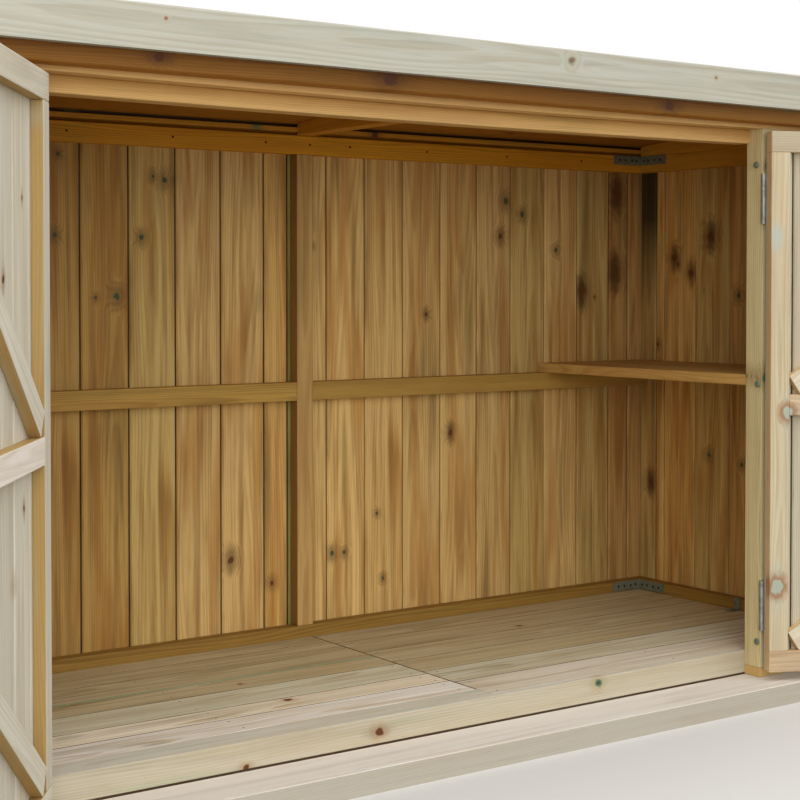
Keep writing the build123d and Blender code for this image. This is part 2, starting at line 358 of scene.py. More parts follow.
@dataclass(frozen=True)
class TimberFinish:
    """Sawn and planed softwood, read from what each timber carries on its vertices."""

    name: str
    slot: str
    pale: Colour
    late: Colour
    heart: Colour
    # edge tints the narrow sides, or a wall's outer faces; on the sill, beam, batten, stud and left leaf it
    # also paints light or shade by the way those sides face.
    edge: Colour = (1.0, 1.0, 1.0)
    halo: Colour = srgb(150, 100, 46)
    knot: Colour = srgb(96, 56, 24)
    resin: Colour = srgb(112, 128, 88)
    stain: Colour = srgb(108, 112, 62)
    ring_spacing: float = 0.0046
    ring_contrast: float = 0.5
    heart_share: float = 0.5
    halo_share: float = 0.4
    halo_reach: float = 3.4
    stain_share: float = 0.22
    streak_share: float = 0.15
    blotch_share: float = 0.12
    roughness: float = 0.62
    variety: Variety = Variety()

    def material(self) -> bpy.types.Material:
        """Builds the wood: growth rings round a pith outside the board, fibres, knots and green stain."""
        shader = Shader.named(self.name)
        x, y, z = shader.split(shader.attribute("grain").outputs["Vector"])
        shift, pith_y, pith_z = shader.split(shader.attribute("pith").outputs["Vector"])
        along = x + shift
        across = y + z * 1.3
        sway = shader.streaks(along * 1.3, across * 6, detail=1.0)
        lean = shader.streaks(along * 1.1 + 7.3, across * 5, detail=1.0)
        band = shader.streaks(along * 1.7, across * 44)
        fibre = shader.streaks(along * 12, across * 560)
        patch = shader.streaks(along * 1.9, across * 20)
        blotch = shader.streaks(along * 2.6, across * 38)
        mottle = shader.streaks(along * 45, across * 70, detail=1.0)
        core, halo, green, smear, pupil = self._knots(shader, x, y, mottle - 0.5)
        away_y = y + pith_y + (sway - 0.5) * 0.036
        away_z = z + pith_z + (lean - 0.5) * 0.024
        reach = (away_y * away_y + away_z * away_z) ** 0.5 + halo * 0.01
        ring = (reach / self.ring_spacing + band * 0.9).part()
        late = ring.rise(0.25, 0.86) * ring.rise(0.9, 1.0, 1.0, 0.0)
        colour = shader.mix(late * (band * 1.1 + 0.25) * self.ring_contrast, self.pale, self.late)
        colour = shader.mix(patch.rise(0.48, 0.7) * self.heart_share, colour, self.heart)
        colour = shader.mix(band.rise(0.42, 0.72) * self.streak_share, colour, self.late)
        colour = shader.mix(fibre.rise(0.52, 0.8) * 0.32, colour, self.late)
        side = shader.number(shader.attribute("side"), "Fac")
        plain = 1.0 - side * 0.8
        colour = shader.mix(blotch.rise(0.46, 0.74) * plain * self.blotch_share, colour,
                            tuple(c * 0.4 for c in self.late))
        colour = shader.mix(plain, colour, shader.attribute("tint").outputs["Color"], "MULTIPLY")
        # The side tint: each timber's own tone on its narrow sides, and painted light or shade where the
        # finish's edge tint stands for it.
        colour = shader.mix(side, colour, self.edge, "MULTIPLY")
        old_stain = patch.rise(0.44, 0.28) * band.rise(0.45, 0.7) * self.stain_share
        colour = shader.mix(old_stain.most(green * 1.6), colour, self.stain)
        colour = shader.mix(halo * self.halo_share, colour, self.halo)
        colour = shader.mix(smear * 0.8, colour, tuple(c * 0.5 for c in self.knot))
        middle = shader.mix(green * 6.0, self.knot, self.resin)
        colour = shader.mix(core, colour, middle)
        colour = shader.mix(pupil * 0.75, colour, tuple(c * 0.5 for c in self.knot))
        return shader.finish(colour, fibre * 0.12 + self.roughness, shader.bump(fibre, 0.0004, 0.6),
                             specular=0.3)

    def _knots(self, shader: Shader, x: Num, y: Num, ragged: Num) -> tuple[Num, ...]:
        """The knots that each timber carries.

        Args:
            shader: the tree that the nodes go to.
            x: the place along the grain.
            y: the place across it.
            ragged: what makes the outlines uneven.

        Returns:
            Masks of the knots, of the grain round them, of green resin, of dark smears and of dark centres.
        """
        masks: list[Num] = []
        for layer in KNOT_LAYERS:
            carried = shader.attribute(layer)
            at_x, at_y, radius = shader.split(carried.outputs["Color"])
            kind = shader.number(carried, "Alpha")
            off_x = x - at_x
            off_y = y - at_y
            square = off_y * off_y
            share = (off_x * off_x * 0.7 + square) ** 0.5 / radius + ragged
            trail = (off_x * off_x * 0.12 + square) ** 0.5 / radius + ragged
            whole = kind.rise(0.02, 0.05, 1.0, 0.0).most(kind.rise(0.42, 0.48))
            found = [share.rise(1.2, 0.75) * whole,
                     share.rise(self.halo_reach, 0.8) * whole,
                     trail.rise(2.0, 0.4) * kind.most(0.0) * (1.0 - whole * 0.75),
                     trail.rise(2.4, 0.5) * (0.0 - kind).most(0.0),
                     share.rise(0.75, 0.3) * kind.rise(1.05, 1.15)]
            masks = [old.most(new) for old, new in zip(masks, found)] if masks else found
        return tuple(masks)


@dataclass(frozen=True)
class MetalFinish:
    """Dull galvanised steel with a fine spangle."""

    name: str
    slot: str
    colour: Colour
    dirt: Colour
    roughness: float = 0.42
    metallic: float = 0.85

    def material(self) -> bpy.types.Material:
        """Builds the zinc."""
        shader = Shader.named(self.name)
        place = shader.node("ShaderNodeTexCoord").outputs["Object"]
        flake = shader.node("ShaderNodeTexVoronoi", {"voronoi_dimensions": "3D"},
                            {"Vector": place, "Scale": 260.0})
        tint, _, _ = shader.split(flake.outputs["Color"])
        dirt = shader.noise(place, 60.0, 4.0)
        colour = shader.mix(tint * 0.35, self.colour, tuple(c * 0.72 for c in self.colour))
        colour = shader.mix(dirt.rise(0.45, 0.7) * 0.5, colour, self.dirt)
        return shader.finish(colour, dirt * 0.25 + self.roughness, shader.bump(dirt, 0.0002),
                             metallic=self.metallic)


@dataclass(frozen=True)
class FeltFinish:
    """Mineral roofing felt: fine grit on a bitumen sheet."""

    name: str
    slot: str
    colour: Colour

    def material(self) -> bpy.types.Material:
        """Builds the grit."""
        shader = Shader.named(self.name)
        place = shader.node("ShaderNodeTexCoord").outputs["Object"]
        grit = shader.noise(place, 900.0, 2.0)
        cloud = shader.noise(place, 3.0, 4.0)
        speck = shader.noise(place, 420.0, 1.0)
        colour = shader.mix(grit.rise(0.35, 0.7), tuple(c * 0.55 for c in self.colour), self.colour)
        colour = shader.mix(speck.rise(0.66, 0.74) * 0.6, colour,
                            tuple(min(1.0, c * 2.4) for c in self.colour))
        colour = shader.mix(cloud.rise(0.5, 0.8) * 0.35, colour, srgb(96, 98, 92))
        return shader.finish(colour, 0.92, shader.bump(grit, 0.0012, 0.7), specular=0.2)


CALM = Variety((Hue.PLAIN,), 0.03, 0.1, (0.003, 0.006))
LEFT_MIX = Variety((Hue.PLAIN,), 0.05, 0.0)
RIGHT_MIX = Variety((Hue.PLAIN, Hue.GOLDEN), 0.03, 0.0)
WALL_MIX = Variety((Hue.PLAIN, Hue.PLAIN, Hue.GOLDEN, Hue.OLIVE, Hue.PINK, Hue.BROWN), 0.06, 0.1)
FLOOR_MIX = Variety((Hue.PLAIN, Hue.OLIVE, Hue.GOLDEN, Hue.FRESH), 0.05, 0.12)
ROOF_MIX = Variety((Hue.PLAIN, Hue.GOLDEN), 0.05, 0.1)
ORANGE = srgb(186, 136, 84)
PALE_RESIN = srgb(204, 206, 190)
PALE_STAIN = srgb(182, 200, 192)

FASCIA = TimberFinish("fascia_timber", "pale_timber", srgb(192, 190, 176), srgb(168, 158, 132),
                      srgb(198, 190, 168), halo=srgb(186, 168, 128), knot=srgb(158, 112, 82),
                      resin=srgb(160, 152, 130), stain=PALE_STAIN, ring_spacing=0.0062, ring_contrast=0.55,
                      heart_share=0.3, variety=CALM)
# The sill's edge tint darkens its front face and ends: painted shade on the sides that face away from the
# sky.
SILL = TimberFinish("sill_timber", "pale_timber", srgb(238, 232, 222), srgb(212, 194, 170),
                    srgb(234, 220, 206), edge=(0.68, 0.66, 0.6), halo=ORANGE, resin=PALE_RESIN,
                    stain=PALE_STAIN, ring_contrast=0.5, heart_share=0.4, variety=CALM)
# The beam's edge tint lightens and cools its top and ends: painted light.
BEAM = TimberFinish("beam_timber", "pale_timber", srgb(198, 188, 166), srgb(168, 152, 116),
                    srgb(190, 174, 144), edge=(1.25, 1.34, 1.5), halo=ORANGE, resin=srgb(96, 128, 102),
                    stain=srgb(150, 176, 142), ring_contrast=0.45, variety=CALM)
POST = TimberFinish("post_timber", "pale_timber", srgb(216, 200, 152), srgb(176, 152, 102),
                    srgb(202, 182, 132), resin=srgb(92, 118, 86), stain=srgb(124, 138, 96),
                    ring_contrast=0.6, variety=CALM)
# The left leaf's edge tint makes its narrow sides darker and golden: partly the timber's own tone, partly
# painted shade.
LEFT_LEAF = TimberFinish("left_door_timber", "pale_timber", srgb(226, 220, 202), srgb(200, 182, 150),
                         srgb(206, 194, 168), edge=(0.69, 0.49, 0.22), halo=ORANGE, resin=PALE_RESIN,
                         stain=PALE_STAIN, ring_contrast=0.45, variety=LEFT_MIX)
RIGHT_LEAF = TimberFinish("right_door_timber", "pale_timber", srgb(220, 206, 172), srgb(188, 160, 116),
                          srgb(206, 182, 150), edge=(1.08, 0.92, 0.76), halo=srgb(160, 98, 46),
                          halo_share=0.85, halo_reach=2.7, resin=srgb(180, 186, 166), stain=PALE_STAIN,
                          ring_contrast=0.55, variety=RIGHT_MIX)
WALL = TimberFinish("wall_timber", "wall_timber", srgb(216, 180, 114), srgb(150, 99, 38),
                    srgb(180, 125, 56), edge=(0.92, 1.16, 2.1), ring_contrast=0.42, heart_share=0.6,
                    halo=srgb(104, 66, 28), resin=srgb(66, 80, 58), halo_share=0.45, halo_reach=5.5,
                    stain_share=0.3, streak_share=0.4, blotch_share=0.3, variety=WALL_MIX)
# The deep orange of the timbers under the roof is partly their own colour and partly painted shade.
ROOF = TimberFinish("roof_timber", "wall_timber", srgb(210, 154, 48), srgb(152, 96, 22),
                    srgb(190, 128, 38), ring_spacing=0.003, ring_contrast=0.55, variety=ROOF_MIX)
HEAD = TimberFinish("head_timber", "wall_timber", srgb(226, 186, 122), srgb(182, 134, 70),
                    srgb(216, 168, 110), knot=srgb(92, 50, 20), resin=srgb(190, 180, 140),
                    ring_spacing=0.0024, ring_contrast=0.5, variety=CALM)
# The batten's dark colours paint the fascia's shade over it, and its bright edge tint paints light on its
# underside.
BATTEN_PAINTED_SHADING = TimberFinish("batten_timber", "wall_timber", srgb(134, 88, 22), srgb(96, 58, 12),
                      srgb(124, 78, 18), edge=(2.0, 1.9, 1.7), halo=srgb(96, 52, 18),
                      knot=srgb(78, 42, 18), ring_spacing=0.0024, ring_contrast=0.5, variety=CALM)
# The stud's edge tint darkens its narrow sides: painted shade.
STUD = TimberFinish("stud_timber", "wall_timber", srgb(196, 157, 94), srgb(150, 104, 50),
                    srgb(178, 128, 72), edge=(0.52, 0.46, 0.36), ring_contrast=0.5, variety=CALM)
FLOOR = TimberFinish("floor_timber", "floor_timber", srgb(238, 230, 212), srgb(190, 164, 124),
                     srgb(222, 204, 174), halo=ORANGE, ring_contrast=0.75, streak_share=0.3,
                     variety=FLOOR_MIX)
ZINC = MetalFinish("galvanised_steel", "galvanised_steel", srgb(166, 166, 160), srgb(104, 98, 88), 0.4, 0.7)
OLD_ZINC = MetalFinish("weathered_steel", "galvanised_steel", srgb(134, 138, 118), srgb(78, 90, 70), 0.45,
                       0.5)
BOLT = MetalFinish("dull_bolt", "galvanised_steel", srgb(132, 148, 128), srgb(58, 70, 54), 0.45, 0.5)
DARK_HOLE = MetalFinish("dark_hole", "galvanised_steel", srgb(30, 24, 18), srgb(24, 18, 12), 0.9, 0.0)
FELT = FeltFinish("roof_felt", "roof_felt", srgb(66, 72, 68))
Finish = Union[TimberFinish, MetalFinish, FeltFinish]


class Finishes:
    """Makes each finish's material once."""

    _made: dict[str, bpy.types.Material] = {}

    @classmethod
    def get(cls, finish: Finish) -> bpy.types.Material:
        """The material of that finish."""
        if finish.name not in cls._made:
            cls._made[finish.name] = finish.material()
        return cls._made[finish.name]


def corners(node: str) -> tuple[Vector, Vector]:
    """The lowest and the highest corner of a node's box."""
    low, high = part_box(node)
    return Vector(low), Vector(high)


def span(places: Sequence[Vector]) -> tuple[Vector, Vector]:
    """The lowest and the highest corner of the box round some places."""
    return tuple(Vector(tuple(limit(place[i] for place in places) for i in range(3))) for limit in (min, max))


def laid(place: Vector, along: Vector, across: Vector, through: Vector) -> Matrix:
    """The frame at a place whose X, Y and Z run along, across and through a timber."""
    return Matrix.Translation(place) @ Matrix((along, across, through)).transposed().to_4x4()


def upright(centre: Vector, outward: Vector) -> Matrix:
    """A board's frame that stands on end: length up, outer face towards outward."""
    up = Vector((0, 0, 1))
    return laid(centre, up, outward.cross(up), outward)


class Body(Enum):
    """The bodies that the pieces ride on."""

    SHELTER = "shelter"
    LEFT_DOOR = "left_door"
    RIGHT_DOOR = "right_door"


class Stack:
    """Collects the timbers or fittings of one piece into one mesh."""

    def __init__(self, name: str, variety: Variety = CALM, knots: Sequence[Knot] = (),
                 broad: Optional[Vector] = None, outer: Optional[Vector] = None) -> None:
        """Starts an empty piece.

        Args:
            name: the piece's name in the scene; its random variation starts from it, the same on every run.
            variety: how its timbers differ from each other.
            knots: knots at chosen places; a timber that has one gets no others.
            broad: the way its broad faces look, where its narrow sides have a tint of their own, which on
                some finishes is painted light or shade.
            outer: the way its outer faces look, where those have it.
        """
        self.name = name
        self.variety = variety
        self.knots = knots
        self.broad = broad
        self.outer = outer
        self.mesh = bmesh.new()
        self.chance = random.Random(name)
        layers = self.mesh.verts.layers
        self.grain = layers.float_vector.new("grain")
        self.pith = layers.float_vector.new("pith")
        self.tint = layers.float_color.new("tint")
        self.carried = [layers.float_color.new(layer) for layer in KNOT_LAYERS]
        self.side = self.mesh.loops.layers.float.new("side")

    def mark(self, verts: Sequence[bmesh.types.BMVert], to_grain: Matrix,
             to_shelter: Matrix = Matrix.Identity(4), hue: Optional[Hue] = None) -> None:
        """Writes the grain's place, the pith's place, the tint and the knots on the vertices of one timber.

        Args:
            verts: the timber's vertices, where they stand now.
            to_grain: turns their place into metres along, across and through the timber.
            to_shelter: turns their place into the shelter's frame.
            hue: the timber's tint; left to chance if not given.
        """
        way = self.chance.choice((-1, 1))
        pith = Vector((self.chance.uniform(0, 9), self.chance.uniform(-0.035, 0.035),
                       way * self.chance.uniform(0.014, 0.075)))
        light = 1.0 + self.chance.uniform(-1, 1) * self.variety.swing
        tint = (*(c * light for c in (hue or self.chance.choice(self.variety.hues)).value), 1.0)
        places = [to_grain @ vert.co for vert in verts]
        knots = self._knots_here(to_grain @ to_shelter.inverted(), *span(places))
        for vert, place in zip(verts, places):
            vert[self.grain] = place
            vert[self.pith] = pith
            vert[self.tint] = tint
            for layer, knot in zip(self.carried, knots):
                vert[layer] = knot

    def _knots_here(self, to_grain: Matrix, low: Vector,
                    high: Vector) -> list[tuple[float, float, float, float]]:
        """Finds the chosen knots of one timber, or draws some where it is long enough and has none.

        Args:
            to_grain: turns the shelter's frame into the timber's own.
            low: the timber's lowest corner in its own frame.
            high: its highest corner.

        Returns:
            As many knots as there are layers: place along and across, radius, kind.
        """
        found = []
        for knot in self.knots:
            at = to_grain @ Vector(knot.place)
            if all(low[i] - KNOT_MARGIN < at[i] < high[i] + KNOT_MARGIN for i in range(3)):
                found.append((at.x, at.y, knot.radius, knot.kind))
        if not found and max(high.x - low.x, high.y - low.y) > SHORT_TIMBER:
            for _ in self.carried:
                if self.chance.random() < self.variety.knots:
                    found.append((self.chance.uniform(low.x, high.x),
                                  self.chance.uniform(low.y, high.y) * 0.8,
                                  self.chance.uniform(*self.variety.radius),
                                  self.chance.uniform(-0.5, 0.5)))
        return (found + [NO_KNOT] * len(self.carried))[:len(self.carried)]

    def bar(self, size: Vector, place: Matrix, round_by: float = 0.0015, segments: int = 2,
            hue: Optional[Hue] = None) -> list[bmesh.types.BMVert]:
        """Adds one straight timber with softened edges.

        Args:
            size: its length, width and thickness.
            place: takes its own frame, with the length along X, to the shelter's frame.
            round_by: size of the softened edges.
            segments: steps in them.
            hue: see mark.

        Returns:
            The timber's vertices.
        """
        verts = bmesh.ops.create_cube(self.mesh, size=1.0)["verts"]
        bmesh.ops.scale(self.mesh, vec=size, verts=verts)
        if round_by:
            edges = unique(edge for vert in verts for edge in vert.link_edges)
            verts = bmesh.ops.bevel(self.mesh, geom=edges, offset=round_by, offset_type="OFFSET",
                                    segments=segments, profile=0.5, affect="EDGES", material=-1,
                                    clamp_overlap=True)["verts"]
        self.mark(verts, Matrix.Identity(4), place, hue)
        bmesh.ops.transform(self.mesh, matrix=place, verts=verts)
        return verts

    def strip(self, size: Sequence[float], centre: Sequence[float], hue: Hue) -> None:
        """Adds a thin dark bar along the axes, such as the shade in a joint."""
        self.bar(Vector(size), Matrix.Translation(centre), 0.0, hue=hue)

    def board(self, size: Vector, place: Matrix, front_vee: float, back_vee: float, groove: float = 0.0,
              hue: Optional[Hue] = None) -> list[bmesh.types.BMVert]:
        """Adds one matched board whose long edges are bevelled for a vee joint.

        Args:
            size: length, width and thickness.
            place: takes its own frame, with the length along X and the outer face up +Z, to the shelter's.
            front_vee: bevel of the long edges on the outer face.
            back_vee: bevel of those on the inner face.
            groove: depth of the shallow line down the middle of the inner face.
            hue: see mark.

        Returns:
            The board's vertices.
        """
        verts = bmesh.ops.create_cube(self.mesh, size=1.0)["verts"]
        bmesh.ops.scale(self.mesh, vec=size, verts=verts)
        known = verts
        for side, vee in ((1, front_vee), (-1, back_vee)):
            if not vee:
                continue
            edges = [edge for edge in unique(e for vert in known for e in vert.link_edges)
                     if abs(edge.verts[0].co.x - edge.verts[1].co.x) > size.x * 0.9
                     and all(vert.co.z * side > size.z * 0.45 for vert in edge.verts)]
            made = bmesh.ops.bevel(self.mesh, geom=edges, offset=vee, offset_type="OFFSET", segments=1,
                                   profile=0.5, affect="EDGES", material=-1)
            known = unique([*(vert for vert in known if vert.is_valid), *made["verts"]])
        if groove:
            for cut in (-groove, 0.0, groove):
                known = unique([*known, *self._cut(known, (0, cut, 0), (0, 1, 0))])
            for vert in known:
                if abs(vert.co.y) < 1e-5 and vert.co.z < -size.z * 0.45:
                    vert.co.z += groove
        self.mark(known, Matrix.Identity(4), place, hue)
        bmesh.ops.transform(self.mesh, matrix=place, verts=known)
        return known

    def _cut(self, verts: Sequence[bmesh.types.BMVert], place: Sequence[float],
             way: Sequence[float]) -> list[bmesh.types.BMVert]:
        """Cuts a timber's faces on a plane.

        Args:
            verts: the timber's vertices.
            place: a point on the plane.
            way: the plane's normal.

        Returns:
            The vertices that the cut makes.
        """
        faces = unique(face for vert in verts for face in vert.link_faces)
        edges = unique(edge for vert in verts for edge in vert.link_edges)
        made = bmesh.ops.bisect_plane(self.mesh, geom=[*verts, *edges, *faces], dist=1e-6, plane_co=place,
                                      plane_no=way)
        return [item for item in made["geom_cut"] if isinstance(item, bmesh.types.BMVert)]

    def fade(self, verts: Sequence[bmesh.types.BMVert], start: float, end: float, hue: Hue) -> None:
        """Turns one timber towards another tint as it goes up.

        Args:
            verts: its vertices in the shelter's frame.
            start: height where the other tint begins.
            end: height where it is full.
            hue: the other tint.
        """
        known = list(verts)
        for height in (start, end):
            known = unique([*known, *self._cut(known, (0, 0, height), (0, 0, 1))])
        for vert in known:
            share = min(1.0, max(0.0, (vert.co.z - start) / (end - start)))
            vert[self.tint] = tuple(old + (old * new - old) * share
                                    for old, new in zip(vert[self.tint], (*hue.value, 1.0)))

    def disc(self, radius: float, height: float, place: Matrix, segments: int = 16,
             dome: float = 0.0) -> None:
        """Adds one round head, flat or domed, standing on the plane of its place.

        Args:
            radius: its radius.
            height: how far it stands out.
            place: takes its own frame, with the head up +Z, to the shelter's.
            segments: sides of its outline.
            dome: softening of the head's upper edge.
        """
        verts = bmesh.ops.create_cone(self.mesh, cap_ends=True, cap_tris=False, segments=segments,
                                      radius1=radius, radius2=radius, depth=height)["verts"]
        bmesh.ops.translate(self.mesh, verts=verts, vec=(0, 0, height / 2))
        if dome:
            rim = [edge for edge in unique(e for vert in verts for e in vert.link_edges)
                   if all(vert.co.z > height * 0.9 for vert in edge.verts)]
            made = bmesh.ops.bevel(self.mesh, geom=rim, offset=dome, offset_type="OFFSET", segments=3,
                                   profile=0.5, affect="EDGES", material=-1)
            verts = unique([*(v for v in verts if v.is_valid), *made["verts"]])
        self.mark(verts, Matrix.Identity(4), place)
        bmesh.ops.transform(self.mesh, matrix=place, verts=verts)

    def _tint_sides(self) -> None:
        """Marks the narrow faces, or a wall's outer faces and ends, for the finish's second tint, which on
        some finishes is painted light or shade.
        """
        self.mesh.normal_update()
        ends = [limit(vert.co[i] for vert in self.mesh.verts) for i in (0, 1) for limit in (min, max)]
        for face in self.mesh.faces:
            marked = self.broad is not None and abs(face.normal.dot(self.broad)) < 0.5
            if self.outer is not None:
                facing = face.normal.dot(self.outer)
                middle = face.calc_center_median()
                near = min(abs(middle[i // 2] - end) for i, end in enumerate(ends))
                marked = facing > 0.5 or (facing > -0.2 and near < 0.001)
            if marked:
                for loop in face.loops:
                    loop[self.side] = 1.0

    def finish(self, finish: Finish, body: Body = Body.SHELTER, nodes: Sequence[str] = (),
               smooth: bool = False) -> bpy.types.Object:
        """Turns the collected mesh into a piece that rides on its body.

        Args:
            finish: what it is made of.
            body: the body that it rides on.
            nodes: the CAD nodes that it stands for.
            smooth: shades it smooth.

        Returns:
            The new object.
        """
        self._tint_sides()
        data = bpy.data.meshes.new(self.name)
        self.mesh.to_mesh(data)
        self.mesh.free()
        piece = bpy.data.objects.new(self.name, data)
        bpy.context.scene.collection.objects.link(piece)
        data.materials.append(Finishes.get(finish))
        for face in data.polygons:
            face.use_smooth = smooth
        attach(piece, body.value)
        if nodes:
            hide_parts(*nodes)
        LOG.info("%s: %d faces on %s", self.name, len(data.polygons), body.value)
        return piece


@dataclass
class CadSolid:
    """One closed solid of a CAD node, as a merged copy of its mesh."""

    mesh: bmesh.types.BMesh
    low: Vector
    high: Vector

    def frame(self) -> Matrix:
        """A frame at the solid's middle: X along its longest edge, Y along the next one square to it."""
        edges = sorted(self.mesh.edges, key=lambda edge: -edge.calc_length())
        ways = [(edge.verts[1].co - edge.verts[0].co).normalized() for edge in edges]
        along = ways[0]
        square = next((way for way in ways if abs(way.dot(along)) < 0.05), along.orthogonal())
        across = (square - along * square.dot(along)).normalized()
        middle = sum((vert.co for vert in self.mesh.verts), Vector()) / len(self.mesh.verts)
        return laid(middle, along, across, along.cross(across))


class CadReader:
    """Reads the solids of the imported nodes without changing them."""

    @staticmethod
    def solids(node: bpy.types.Object, turn: Matrix = Matrix.Identity(4)) -> Iterator[CadSolid]:
        """The separate solids of a node.

        Args:
            node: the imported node.
            turn: takes the shelter's frame to the frame that the low and high corners are measured in.

        Yields:
            Each solid with its box in that frame.
        """
        whole = bmesh.new()
        whole.from_mesh(node.data)
        bmesh.ops.remove_doubles(whole, verts=whole.verts, dist=2e-5)
        bmesh.ops.dissolve_limit(whole, angle_limit=0.01, verts=whole.verts, edges=whole.edges)
        whole.verts.index_update()
        unseen = set(whole.verts)
        for start in whole.verts:
            if start not in unseen:
                continue
            unseen.discard(start)
            island: set[int] = set()
            front = [start]
            while front:
                vert = front.pop()
                island.add(vert.index)
                for edge in vert.link_edges:
                    other = edge.other_vert(vert)
                    if other in unseen:
                        unseen.discard(other)
                        front.append(other)
            alone = whole.copy()
            bmesh.ops.delete(alone, geom=[vert for vert in alone.verts if vert.index not in island],
                             context="VERTS")
            yield CadSolid(alone, *span([turn @ vert.co for vert in alone.verts]))
        whole.free()


@dataclass(frozen=True)
class Levels:
    """Tints of the bottom, middle and top timbers of one piece."""

    bottom: Hue
    middle: Hue
    top: Hue

    def at(self, solid: CadSolid) -> Hue:
        """The tint of one timber by its height."""
        if solid.low.z < 0.4:
            return self.bottom
        return self.middle if solid.low.z < 0.9 else self.top


@dataclass
class Carpentry:
    """Plain timbers that keep the shape of their CAD node, with softened edges and their own grain."""

    nodes: Mapping[str, bpy.types.Object]
    round_by: float = 0.002

    def dress(self, node: str, finish: TimberFinish, body: Body = Body.SHELTER,
              hue: Union[Hue, Levels, None] = None, fade: Optional[tuple[float, float, Hue]] = None,
              round_by: Optional[float] = None, knots: Sequence[Knot] = (), broad: Optional[Vector] = None,
              shape: Optional[Callable[[bmesh.types.BMesh], None]] = None) -> bpy.types.Object:
        """Builds the piece that stands for one node.

        Args:
            node: the CAD node.
            finish: what it is made of.
            body: the body that it rides on.
            hue: the tint of its timbers, or the tints by height; left to chance if not given.
            fade: heights from which and up to which the timbers turn to another tint.
            round_by: size of its softened edges, if not the usual one.
            knots: knots at chosen places.
            broad: the way its broad faces look, where its sides are tinted.
            shape: trims each solid before its edges are softened.

        Returns:
            The new piece.
        """
        stack = Stack(f"{node}_timber", finish.variety, knots, broad)
        for solid in CadReader.solids(self.nodes[node]):
            own = bpy.data.meshes.new("solid")
            to_grain = solid.frame().inverted()
            if shape:
                shape(solid.mesh)
            sharp = [edge for edge in solid.mesh.edges
                     if edge.calc_length() > 0.004 and edge.calc_face_angle(0.0) > 0.2]
            bmesh.ops.bevel(solid.mesh, geom=sharp, offset=round_by or self.round_by, offset_type="OFFSET",
                            segments=2, profile=0.5, affect="EDGES", material=-1, clamp_overlap=True)
            solid.mesh.to_mesh(own)
            before = set(stack.mesh.verts)
            stack.mesh.from_mesh(own)
            verts = [vert for vert in stack.mesh.verts if vert not in before]
            stack.mark(verts, to_grain, hue=hue.at(solid) if isinstance(hue, Levels) else hue)
            if fade:
                stack.fade(verts, *fade)
            solid.mesh.free()
            bpy.data.meshes.remove(own)
        return stack.finish(finish, body, [node])


def sagged(mesh: bmesh.types.BMesh) -> None:
    """Lets a timber over the doorway hang at the middle of its span, as the real one does.

    Args:
        mesh: the straight timber, which is cut into short lengths and lowered.
    """
    middle, half, steps, drop = -0.14, 0.94, 14, 0.005
    for step in range(steps + 1):
        at = middle + half * (2 * step / steps - 1)
        bmesh.ops.bisect_plane(mesh, geom=[*mesh.verts, *mesh.edges, *mesh.faces], plane_co=(at, 0, 0),
                               plane_no=(1, 0, 0))
    for vert in mesh.verts:
        vert.co.z -= drop * max(0.0, 1.0 - ((vert.co.x - middle) / half) ** 2)


@dataclass
class BoardedWall:
    """A wall of upright matched boards with vee joints."""

    node: str
    outward: Vector
    joints: Sequence[float]
    gap: float = 0.0042
    front_vee: float = 0.0035
    back_vee: float = 0.003
    groove: float = 0.0014
    grooved_from: float = -9.0
    grooved_gap: float = 0.003
    hues: Mapping[int, Hue] = field(default_factory=dict)
    faded: Mapping[int, tuple[float, float, Hue]] = field(default_factory=dict)
    knots: Sequence[Knot] = ()
    weathered: bool = True
    shade_width: float = 0.009

    def build(self, finish: TimberFinish, body: Body = Body.SHELTER, turn: Matrix = Matrix.Identity(4),
              box: Optional[tuple[Vector, Vector]] = None) -> bpy.types.Object:
        """Builds the boards between the corners of the node's box.

        Args:
            finish: what they are made of.
            body: the body that they ride on.
            turn: takes the frame that the box is measured in to the shelter's frame.
            box: lowest and highest corner in that frame, if not the node's own box.

        Returns:
            The new piece.
        """
        low, high = box or corners(self.node)
        runs_x = abs(self.outward.y) > 0.5
        start, end = (low.x, high.x) if runs_x else (low.y, high.y)
        thickness = (high.y - low.y) if runs_x else (high.x - low.x)
        middle = (low + high) / 2
        stack = Stack(f"{self.node}_matched_boards", finish.variety, self.knots,
                      outer=self.outward if self.weathered else None)
        edges = [start, *[j for j in sorted(self.joints) if start + 0.02 < j < end - 0.02], end]
        for index, (left, right) in enumerate(zip(edges, edges[1:])):
            grooved = right - left > 0.1 and (left + right) / 2 > self.grooved_from
            gap = self.grooved_gap if grooved and self.groove else self.gap
            size = Vector((high.z - low.z, right - left - gap, thickness))
            verts = stack.board(size, turn @ self._stand((left + right) / 2, middle, runs_x), self.front_vee,
                                self.back_vee, self.groove if grooved else 0.0, self.hues.get(index))
            if index in self.faded:
                stack.fade(verts, *self.faded[index])
            if index:
                stack.bar(Vector((size.x - 0.002, self.shade_width, thickness * 0.25)),
                          turn @ self._stand(left, middle, runs_x), 0.0, hue=Hue.BLACK)
        return stack.finish(finish, body, [self.node])

    def _stand(self, at: float, middle: Vector, runs_x: bool) -> Matrix:
        """The frame of a board whose middle is at that place along the wall."""
        centre = Vector((at, middle.y, middle.z)) if runs_x else Vector((middle.x, at, middle.z))
        return upright(centre, self.outward)

    @staticmethod
    def even(start: float, end: float, first: float, pitch: float) -> list[float]:
        """Joints at an even pitch through the first one, between start and end."""
        steps = range(-40, 41)
        return [first + step * pitch for step in steps if start < first + step * pitch < end]


